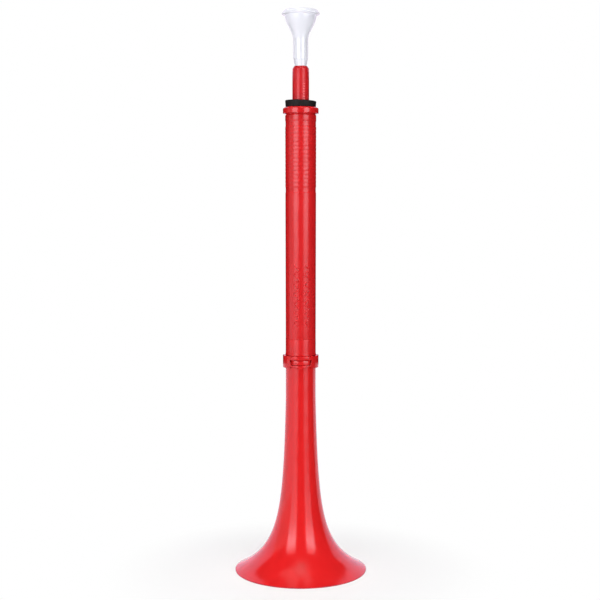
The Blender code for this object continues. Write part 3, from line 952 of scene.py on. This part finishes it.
spigot = make_spigot()
dress(spigot, "joint_spigot", "barrel_body", barrel_plastic)
polish_lugs(spigot)

joint_seal = seal_ring("joint_seal_ring", NECK_BORE, JOINT_SEAL_HEIGHT, JOINT_SEAL_SECTION)
dress(joint_seal, "joint_seal", "barrel_body", black_rubber)

# %% [markdown]
# The slide tube has a coned top that guides the shank in. Just below, its end is a hair thinner than the
# rest, down to a fine step.

# %% Slide tube
RECEIVER_MOUTH = 6.15 * MM
RECEIVER_DEPTH = 25.6 * MM
CONE_HEIGHT = 2.3 * MM
TUBE_END_RADIUS = TUBE_RADIUS - 0.12 * MM
TUBE_END_HEIGHT = 5.0 * MM

tube_corners = [
    (RECEIVER_MOUTH + 0.3 * MM, TUBE_TOP, 0.1 * MM),
    (TUBE_END_RADIUS, TUBE_TOP - CONE_HEIGHT, 0.15 * MM),
    (TUBE_END_RADIUS, TUBE_TOP - TUBE_END_HEIGHT, 0.1 * MM),
    (TUBE_RADIUS, TUBE_TOP - TUBE_END_HEIGHT - 0.25 * MM, 0.1 * MM),
    (TUBE_RADIUS, TUBE_FOOT, 0.3 * MM),
    (TUBE_BORE, TUBE_FOOT, 0.2 * MM),
    (TUBE_BORE, TUBE_TOP - RECEIVER_DEPTH, 0),
    (RECEIVER_MOUTH, TUBE_TOP, 0.1 * MM),
]
slide_tube = turned("slide_tube_red", rounded(tube_corners, steps=6), SMALL_SIDES)
even_light(slide_tube)
dress(slide_tube, "slide_tube", "slide", tube_plastic)

# %% [markdown]
# Raised marks run down the tube: a ladder of small ticks on its right, and further round a plain number
# for each slide position. A semitone down makes the air column longer by a factor of the twelfth root of
# two, and that gives each number its place: it comes level with the bung when the slide is drawn that
# far. A tick is a low wedge of rows of points, and a number is a letter shape from Blender's own font,
# bent round the tube.

# %% Marks on the slide tube
MARK_RISE = 0.22 * MM
MARK_SUNK = 0.02 * MM
MARK_WELD = 0.001 * MM
TICK_ANGLE = math.radians(23)
TICK_PITCH = 2.45 * MM
TICK_TALL = 1.3 * MM
TICK_WIDE = 2.3 * MM
TICK_ROWS = ((-1, 0), (-0.8, 1), (0.4, 0.4), (1, 0))
TICK_COLUMNS = ((-1, 0), (-0.9, 1), (-0.45, 1), (0, 1), (0.45, 1), (0.9, 1), (1, 0))
FIRST_TICK = BUNG_TOP + 16.5 * MM
LAST_TICK = TUBE_FOOT + 22 * MM
NUMBER_ANGLE = math.radians(50)
NUMBER_SIZE = 4.2 * MM
FIRST_NUMBER = BUNG_TOP + 2.2 * MM
POSITIONS = 6
SEMITONE = 2 ** (1 / 12)
HORN_LENGTH = cad_high.z


def mark_point(mesh, angle, across, height, rise):
    """A point on the tube, by its distance round from an upright line at this angle."""
    turn = angle + across / TUBE_RADIUS
    radius = TUBE_RADIUS + rise
    return mesh.verts.new((radius * math.sin(turn), -radius * math.cos(turn), height))


def add_tick(mesh, height):
    """A low wedge: its lip is at its foot, and from there it slopes away, so that its face looks up."""
    grid = []
    for along, up in TICK_ROWS:
        row = []
        for across, over in TICK_COLUMNS:
            rise = MARK_RISE * up * over - MARK_SUNK
            place = height + along * TICK_TALL / 2
            row.append(mark_point(mesh, TICK_ANGLE, across * TICK_WIDE / 2, place, rise))
        grid.append(row)
    join_rows(mesh, grid + [grid[0]])
    mesh.faces.new([row[0] for row in grid])
    mesh.faces.new([row[-1] for row in grid])


def add_number(mesh, number, height):
    """A raised figure, wrapped round the tube."""
    curve = bpy.data.curves.new("figure", "FONT")
    curve.body = str(number)
    curve.size = NUMBER_SIZE
    curve.align_x = "CENTER"
    curve.resolution_u = 3
    curve.extrude = MARK_RISE / 2
    figure = add_object("figure", curve)
    flat = evaluated_mesh(figure)
    points = []
    for vertex in flat.vertices:
        across, up, out = vertex.co
        points.append(mark_point(mesh, NUMBER_ANGLE, across, height + up, out + MARK_RISE / 2))
    for polygon in flat.polygons:
        mesh.faces.new([points[i] for i in polygon.vertices])
    bpy.data.objects.remove(figure)
    bpy.data.meshes.remove(flat)
    bpy.data.curves.remove(curve)


def make_marks():
    mesh = bmesh.new()
    count = int((FIRST_TICK - LAST_TICK) / TICK_PITCH) + 1
    for i in range(count):
        add_tick(mesh, FIRST_TICK - i * TICK_PITCH)
    for steps_down in range(POSITIONS):
        drawn = HORN_LENGTH * (SEMITONE ** steps_down - 1)
        add_number(mesh, steps_down + 1, FIRST_NUMBER - drawn)
        print("position", steps_down + 1, "is drawn", round(drawn / MM, 1), "mm")
    bmesh.ops.remove_doubles(mesh, verts=mesh.verts, dist=MARK_WELD)
    bmesh.ops.recalc_face_normals(mesh, faces=mesh.faces)
    print(count, "ticks")
    return finished("slide_marks", mesh)


slide_marks = make_marks()
# The marks take the pale pink of a painted highlight.
slide_marks.data.materials.append(mark_highlight_plastic)
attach(slide_marks, "slide")

# %% [markdown]
# Inside the barrel, a pale bush on the tube's foot carries two rubber rings, and a second bush in the
# barrel's mouth steadies the tube. They only show from below, through the bell, but they are made with
# the same care, because the horn comes apart for cleaning.

# %% Piston, seals and guide
PISTON_RADIUS, PISTON_FOOT, PISTON_TOP = sizes_of("slide_piston")
PISTON_SEAT = PISTON_FOOT + 2.0 * MM
PISTON_SEAL_SECTION = 0.8 * MM
GUIDE_RADIUS, GUIDE_FOOT, GUIDE_TOP = sizes_of("slide_guide")

seal_heights = {name: middle_of(name) for name in ("piston_seal_upper", "piston_seal_lower")}
piston_corners = [(PISTON_RADIUS, PISTON_TOP, 0.5 * MM)]
for height in seal_heights.values():
    piston_corners += seal_groove(PISTON_RADIUS, BARREL_BORE, height, PISTON_SEAL_SECTION)
piston_corners += [
    (PISTON_RADIUS, PISTON_FOOT, 0.5 * MM),
    (TUBE_BORE + GAP, PISTON_FOOT, 0.3 * MM),
    (TUBE_BORE + GAP, PISTON_SEAT, 0.1 * MM),
    (TUBE_RADIUS + GAP, PISTON_SEAT, 0),
    (TUBE_RADIUS + GAP, PISTON_TOP, 0.3 * MM),
]
piston = turned("piston_bush", rounded(piston_corners), SMALL_SIDES)
even_light(piston)
dress(piston, "slide_piston", "slide", inner_plastic)

for name, height in seal_heights.items():
    ring = seal_ring(name + "_ring", BARREL_BORE, height, PISTON_SEAL_SECTION)
    dress(ring, name, "slide_seals", black_rubber)

guide_corners = [
    (GUIDE_RADIUS, GUIDE_TOP, 0.5 * MM),
    (GUIDE_RADIUS, GUIDE_FOOT, 0.5 * MM),
    (TUBE_RADIUS + GAP, GUIDE_FOOT, 0.4 * MM),
    (TUBE_RADIUS + GAP, GUIDE_TOP, 0.4 * MM),
]
guide = turned("guide_bush", rounded(guide_corners), SMALL_SIDES)
even_light(guide)
dress(guide, "slide_guide", "barrel_body", inner_plastic)

# %% [markdown]
# The mouthpiece is the one white piece. A player presses their lips on its rim, so the rim is broad and
# its crest is round; outside, it slopes down to a thin edge that stands out over the cup. The cup
# narrows like a bowl and eases into a straight stem. A fine groove at the stem's foot leads to the
# tapered shank. Inside, the cup runs down to a narrow throat and opens again.

# %% Mouthpiece
MOUTH_RIM_RADIUS, SHANK_FOOT, MOUTHPIECE_TOP = sizes_of("mouthpiece")
RIM_EDGE = 541.9 * MM
CUP_TOP = 540.9 * MM
CUP_FOOT = 517.5 * MM
CUP_RADIUS = 15.2 * MM
CUP_STEPS = 30
STEM_RADIUS = 7.1 * MM
STEM_FOOT = 499.5 * MM
SHANK_RADIUS_TOP = 5.85 * MM
SHANK_RADIUS_FOOT = 5.6 * MM
BOWL_MOUTH_RADIUS = 12.9 * MM
BOWL_MOUTH_HEIGHT = 544.0 * MM
BOWL_FOOT = 521.0 * MM
BOWL_STEPS = 24
THROAT_RADIUS = 3.3 * MM
THROAT_FOOT = 517.0 * MM
BACKBORE_RADIUS = 4.5 * MM


def between(low, high, share):
    return low + (high - low) * share


def cup_curve(share):
    """From 0 at the stem to 1 at the rim, level at both ends."""
    return (3 - 2 * share) * share ** 2


def mouthpiece_corners():
    corners = [
        (BOWL_MOUTH_RADIUS + 2.0 * MM, MOUTHPIECE_TOP, 0.8 * MM),
        (BOWL_MOUTH_RADIUS + 3.0 * MM, MOUTHPIECE_TOP - 0.35 * MM, 0.6 * MM),
        (MOUTH_RIM_RADIUS, RIM_EDGE + 0.5 * MM, 0.5 * MM),
        (MOUTH_RIM_RADIUS - 0.3 * MM, RIM_EDGE, 0.3 * MM),
        (CUP_RADIUS, CUP_TOP, 0.3 * MM),
    ]
    for i in range(1, CUP_STEPS + 1):
        share = 1 - i / CUP_STEPS
        radius = between(STEM_RADIUS, CUP_RADIUS, cup_curve(share))
        corners.append((radius, between(CUP_FOOT, CUP_TOP, share), 0))
    corners += [
        (STEM_RADIUS, STEM_FOOT, 0.1 * MM),
        (STEM_RADIUS - 0.5 * MM, STEM_FOOT - 0.15 * MM, 0.1 * MM),
        (STEM_RADIUS - 0.5 * MM, STEM_FOOT - 0.75 * MM, 0.1 * MM),
        (STEM_RADIUS - 0.25 * MM, STEM_FOOT - 0.9 * MM, 0.1 * MM),
        (SHANK_RADIUS_TOP + 0.3 * MM, TUBE_TOP + 2.8 * MM, 1.0 * MM),
        (SHANK_RADIUS_TOP, TUBE_TOP + 0.5 * MM, 0.3 * MM),
        (SHANK_RADIUS_TOP, TUBE_TOP - 0.3 * MM, 0),
        (SHANK_RADIUS_FOOT, SHANK_FOOT, 0.25 * MM),
        (BACKBORE_RADIUS, SHANK_FOOT, 0.2 * MM),
        (THROAT_RADIUS, THROAT_FOOT, 1.5 * MM),
        (THROAT_RADIUS, BOWL_FOOT, 0),
    ]
    for i in range(1, BOWL_STEPS + 1):
        share = i / BOWL_STEPS
        radius = between(THROAT_RADIUS, BOWL_MOUTH_RADIUS, share ** 0.6)
        corners.append((radius, between(BOWL_FOOT, BOWL_MOUTH_HEIGHT, share), 0))
    corners.append((BOWL_MOUTH_RADIUS + 0.7 * MM, MOUTHPIECE_TOP, 0.9 * MM))
    return corners


mouthpiece = turned("mouthpiece_white", rounded(mouthpiece_corners(), steps=6), CUP_SIDES)
dress(mouthpiece, "mouthpiece", "mouthpiece_body", white_plastic)

# %% [markdown]
# The horn stands on a plain white table in a dark studio. Close to the horn the table is real, so it
# keeps the shadow; further out the camera sees it as plain white, which joins the white backdrop
# without an edge. Gloss sees all of it white, with a touch of pink. Seen from below it is left out, so
# that the inside of the bell can be looked at.

# %% Table
TABLE_HALF = 3.0
SHADOW_RADIUS = 0.07
WHITE_RADIUS = 0.20
NEAR_GLOW = 0.5
WHITE = (1.0, 1.0, 1.0, 1.0)
TABLE_IN_GLOSS = (1.20, 1.00, 1.15, 1.0)


def ray_masks(tree):
    """1 where the camera, gloss or anything clear looks, and 1 where gloss alone looks."""
    path = add_node(tree, "ShaderNodeLightPath").outputs
    gloss = path["Is Glossy Ray"]
    seen = arithmetic(tree, "MAXIMUM", path["Is Camera Ray"], gloss, path["Is Transmission Ray"])
    return seen, gloss


def make_table_material():
    material, tree, shader = new_material("white_table")
    shader.inputs["Base Color"].default_value = (0.90, 0.90, 0.90, 1.0)
    shader.inputs["Roughness"].default_value = 0.7

    away = add_node(tree, "ShaderNodeVectorMath", {0: object_place(tree)}, operation="LENGTH")
    distance = away.outputs["Value"]
    far = map_range(tree, distance, SHADOW_RADIUS, WHITE_RADIUS, NEAR_GLOW, 1.0, "SMOOTHSTEP")
    seen, gloss = ray_masks(tree)
    share = arithmetic(tree, "MULTIPLY", seen, arithmetic(tree, "MAXIMUM", far, gloss))
    tint = mix_colours(tree, gloss, WHITE, TABLE_IN_GLOSS)
    glow = add_node(tree, "ShaderNodeEmission", {"Color": tint}).outputs["Emission"]
    upper = mix_shaders(tree, share, shader.outputs["BSDF"], glow)

    clear = add_node(tree, "ShaderNodeBsdfTransparent").outputs["BSDF"]
    below = add_node(tree, "ShaderNodeNewGeometry").outputs["Backfacing"]
    surface = tree.nodes["Material Output"].inputs["Surface"]
    feed(tree, surface, mix_shaders(tree, below, upper, clear))
    return material


def flat_sheet(name, corners):
    mesh = bpy.data.meshes.new(name)
    mesh.from_pydata(corners, [], [(0, 1, 2, 3)])
    return add_object(name, mesh)


table_corners = [(x * TABLE_HALF, y * TABLE_HALF, 0) for x, y in ((-1, -1), (1, -1), (1, 1), (-1, 1))]
table = flat_sheet("table", table_corners)
table.data.materials.append(make_table_material())
print("table is", 2 * TABLE_HALF, "m across")

# %% [markdown]
# Gloss shows whatever stands round the object, so a photographer dresses the room as well as the table.
# Black cloth hangs in front and overhead, which keeps the red deep between the highlights. Behind the
# horn the white backdrop shows, and that draws the pink edges on the flare. The cloth is a dome with its
# faces taken out where the backdrop shows, and a sheet on the floor that starts beyond the bell. Both
# are seen by reflections only. Angles are in degrees, from the front round to the right.

# %% Black cloth
CLOTH_RADIUS = 2.4
OPEN_LEFT = -106
OPEN_RIGHT = 114
OPEN_HIGH = 138
LEFT_OPENING_TOP = 37
RIGHT_OPENING_TOP = 31
HIGH_OPENING_TOP = 70
FLOOR_CLOTH_AZIMUTHS = range(-32, 109, 4)
FLOOR_CLOTH_START = 0.2
FLOOR_CLOTH_HEIGHT = 0.003


def around(azimuth, distance, height=0.0):
    """A point at this angle from the front and this distance from the axis."""
    turn = math.radians(azimuth)
    return Vector((distance * math.sin(turn), -distance * math.cos(turn), height))


def glow_material(name, strength, colour=WHITE):
    """A surface that only glows; the strength is a number here, or is fed to the glow later."""
    material, tree, shader = new_material(name)
    tree.nodes.remove(shader)
    glow = add_node(tree, "ShaderNodeEmission", {"Strength": strength, "Color": colour})
    feed(tree, tree.nodes["Material Output"].inputs["Surface"], glow.outputs["Emission"])
    return material, glow


def hang(thing, material):
    """Gives a sheet its material, and lets reflections alone see it."""
    thing.data.materials.append(material)
    thing.visible_camera = False
    thing.visible_diffuse = False
    thing.visible_transmission = False
    thing.visible_shadow = False


def curved_sheet(name, azimuths, ends):
    """A sheet round the axis, between two ends that are each a distance and a height."""
    mesh = bmesh.new()
    join_rows(mesh, [[mesh.verts.new(around(azimuth, *end)) for end in ends] for azimuth in azimuths])
    return finished(name, mesh)


def backdrop_shows(azimuth, elevation):
    if abs(azimuth) > OPEN_HIGH:
        return elevation < HIGH_OPENING_TOP
    if azimuth < 0:
        return azimuth < OPEN_LEFT and elevation < LEFT_OPENING_TOP
    return azimuth > OPEN_RIGHT and elevation < RIGHT_OPENING_TOP


def make_dome():
    mesh = bmesh.new()
    bmesh.ops.create_uvsphere(mesh, u_segments=120, v_segments=60, radius=CLOTH_RADIUS)
    holes = []
    for face in mesh.faces:
        middle = face.calc_center_median()
        azimuth = math.degrees(math.atan2(middle.x, -middle.y))
        elevation = math.degrees(math.asin(middle.z / middle.length))
        if backdrop_shows(azimuth, elevation):
            holes.append(face)
    bmesh.ops.delete(mesh, geom=holes, context="FACES")
    print(len(holes), "faces of the cloth are open")
    return finished("black_cloth", mesh)


black = glow_material("black_velvet", 0.01)[0]
hang(make_dome(), black)
floor_ends = [(distance, FLOOR_CLOTH_HEIGHT) for distance in (FLOOR_CLOTH_START, CLOTH_RADIUS)]
hang(curved_sheet("floor_cloth", FLOOR_CLOTH_AZIMUTHS, floor_ends), black)

# %% [markdown]
# Two narrow black flags stand close to the barrel, behind it on either side. They give its edges a dark
# line, which sets it off from the white. They end above the bell, whose edges stay pale, and at the top
# of the slide tube, so that the white cup isn't darkened.

# %% Black flags
FLAG_RADIUS = 0.13
FLAG_LOW = 0.187
FLAG_HIGH = 0.498
FLAG_START = 92
FLAG_END = 171
FLAG_STEPS = 16

flag_ends = ((FLAG_RADIUS, FLAG_LOW), (FLAG_RADIUS, FLAG_HIGH))
flag_azimuths = [FLAG_START + (FLAG_END - FLAG_START) * i / FLAG_STEPS for i in range(FLAG_STEPS + 1)]
for name, side in (("left_flag", -1), ("right_flag", 1)):
    hang(curved_sheet(name, [side * azimuth for azimuth in flag_azimuths], flag_ends), black)
print("flags from", FLAG_LOW, "to", FLAG_HIGH, "m")

# %% [markdown]
# Two tall soft boxes stand in front, to the left and to the right. They make the two upright highlights
# that run down the whole horn. A real soft box is brightest in the middle, in front of its bulb, and
# that is why the highlights swell on the flare and fade up the bell's neck. So each box is a sheet that
# glows by its height, on a smooth curve, and only on the side that faces the horn. The sheet is seen by
# reflections alone, and an area lamp in the same place gives the light that falls on the horn: then each
# can be set to its own level.

# %% Soft boxes
LEFT_BOX_AZIMUTH = -36.5
RIGHT_BOX_AZIMUTH = 39
BOX_DISTANCE = 0.95
BOX_WIDTH = 0.58
BOX_FOOT = 0.01
BOX_TOP = 1.18
BOX_CENTRE = 0.60
BOX_SPREAD = 0.27
BOX_GLOW = 4.4
BOX_RIM_GLOW = 1.4
BOX_COLOUR = (0.92, 0.92, 1.0, 1.0)


def make_box_material():
    material, glow = glow_material("soft_box_cloth", BOX_GLOW, BOX_COLOUR)
    tree = material.node_tree
    height = height_in(tree, object_place(tree))
    off = arithmetic(tree, "DIVIDE", arithmetic(tree, "SUBTRACT", height, BOX_CENTRE), BOX_SPREAD)
    fall = arithmetic(tree, "MULTIPLY", off, off, -1.0)
    swell = arithmetic(tree, "MULTIPLY", arithmetic(tree, "EXPONENT", fall, 0.0), BOX_GLOW)
    back = add_node(tree, "ShaderNodeNewGeometry").outputs["Backfacing"]
    front = arithmetic(tree, "SUBTRACT", 1.0, back)
    strength = arithmetic(tree, "MULTIPLY", arithmetic(tree, "ADD", swell, BOX_RIM_GLOW), front)
    feed(tree, glow.inputs["Strength"], strength)
    return material


soft_box_cloth = make_box_material()
for name, azimuth in (("left_box", LEFT_BOX_AZIMUTH), ("right_box", RIGHT_BOX_AZIMUTH)):
    half = around(azimuth + 90, BOX_WIDTH / 2)
    low = around(azimuth, BOX_DISTANCE, BOX_FOOT)
    high = around(azimuth, BOX_DISTANCE, BOX_TOP)
    hang(flat_sheet(name, [low + half, low - half, high - half, high + half]), soft_box_cloth)
print("soft boxes", BOX_WIDTH, "m wide, up to", BOX_TOP, "m")

# %% [markdown]
# Two key lamps light the front, one overhead lights the table, a wide one behind lights the back, and
# one with a narrow beam brightens the bell. Reflections don't see these five. Two more are seen: a weak
# one far on the left, and a round one overhead, which shows as the pale patch on the front of the flare.
# The brightness is set as radiance, so that it can be compared with white: a lamp's power is radiance
# times pi times its area. The backdrop is white where it is seen, with a touch of lilac in gloss, and
# gives only a little light.

# %% Lamps and backdrop
LAMP_AIM = 0.1
BELL_AIM = 0.0
KEY_ELEVATION = 14
KEY_TALL = 0.9
KEY_LIGHT = 2.68
BACKDROP_IN_GLOSS = (1.10, 0.92, 1.20, 1.0)
BACKDROP_LIGHT = 0.06


def soft_lamp(name, azimuth, elevation, distance, width, tall, radiance, aim=LAMP_AIM):
    """An area lamp that looks at the horn's axis."""
    lamp = bpy.data.lights.new(name, "AREA")
    lamp.shape = "RECTANGLE"
    lamp.size = width
    lamp.size_y = tall
    lamp.energy = radiance * math.pi * width * tall
    thing = add_object(name, lamp)
    rise = math.radians(elevation)
    away = around(azimuth, math.cos(rise), math.sin(rise))
    thing.location = Vector((0, 0, aim)) + away * distance
    thing.rotation_euler = away.to_track_quat("Z", "Y").to_euler()
    thing.visible_camera = False
    return thing


# After its name each lamp has its azimuth, elevation, distance, width, height and radiance.
unseen = []
for name, azimuth in (("left_key", LEFT_BOX_AZIMUTH), ("right_key", RIGHT_BOX_AZIMUTH)):
    key = soft_lamp(name, azimuth, KEY_ELEVATION, BOX_DISTANCE, BOX_WIDTH, KEY_TALL, KEY_LIGHT)
    unseen.append(key)
unseen.append(soft_lamp("top_fill", 0, 76, 1.7, 1.0, 1.0, 3.0))
unseen.append(soft_lamp("rear_fill", 180, 42, 1.8, 2.6, 1.5, 0.85))
unseen.append(soft_lamp("bell_lamp", 0, 76, 0.95, 0.25, 0.25, 0.30, BELL_AIM))
unseen[-1].data.spread = math.radians(20)
for lamp in unseen:
    lamp.visible_glossy = False
soft_lamp("left_fill", -81, 14, 1.5, 1.35, 1.0, 0.6)
soft_lamp("overhead", -120, 83, 1.6, 0.98, 0.98, 0.55).data.shape = "DISK"

world = bpy.data.worlds.new("white_backdrop")
bpy.context.scene.world = world
world.use_nodes = True
sky = world.node_tree
backdrop = sky.nodes["Background"]
seen, gloss = ray_masks(sky)
feed(sky, backdrop.inputs["Color"], mix_colours(sky, gloss, WHITE, BACKDROP_IN_GLOSS))
feed(sky, backdrop.inputs["Strength"], map_range(sky, seen, 0.0, 1.0, BACKDROP_LIGHT, 1.0))

# %% [markdown]
# The last cell prints the frame's box.

# %% Frame box
print("frame box in mm:", [round(value / MM, 2) for value in (*cad_low, *cad_high)])
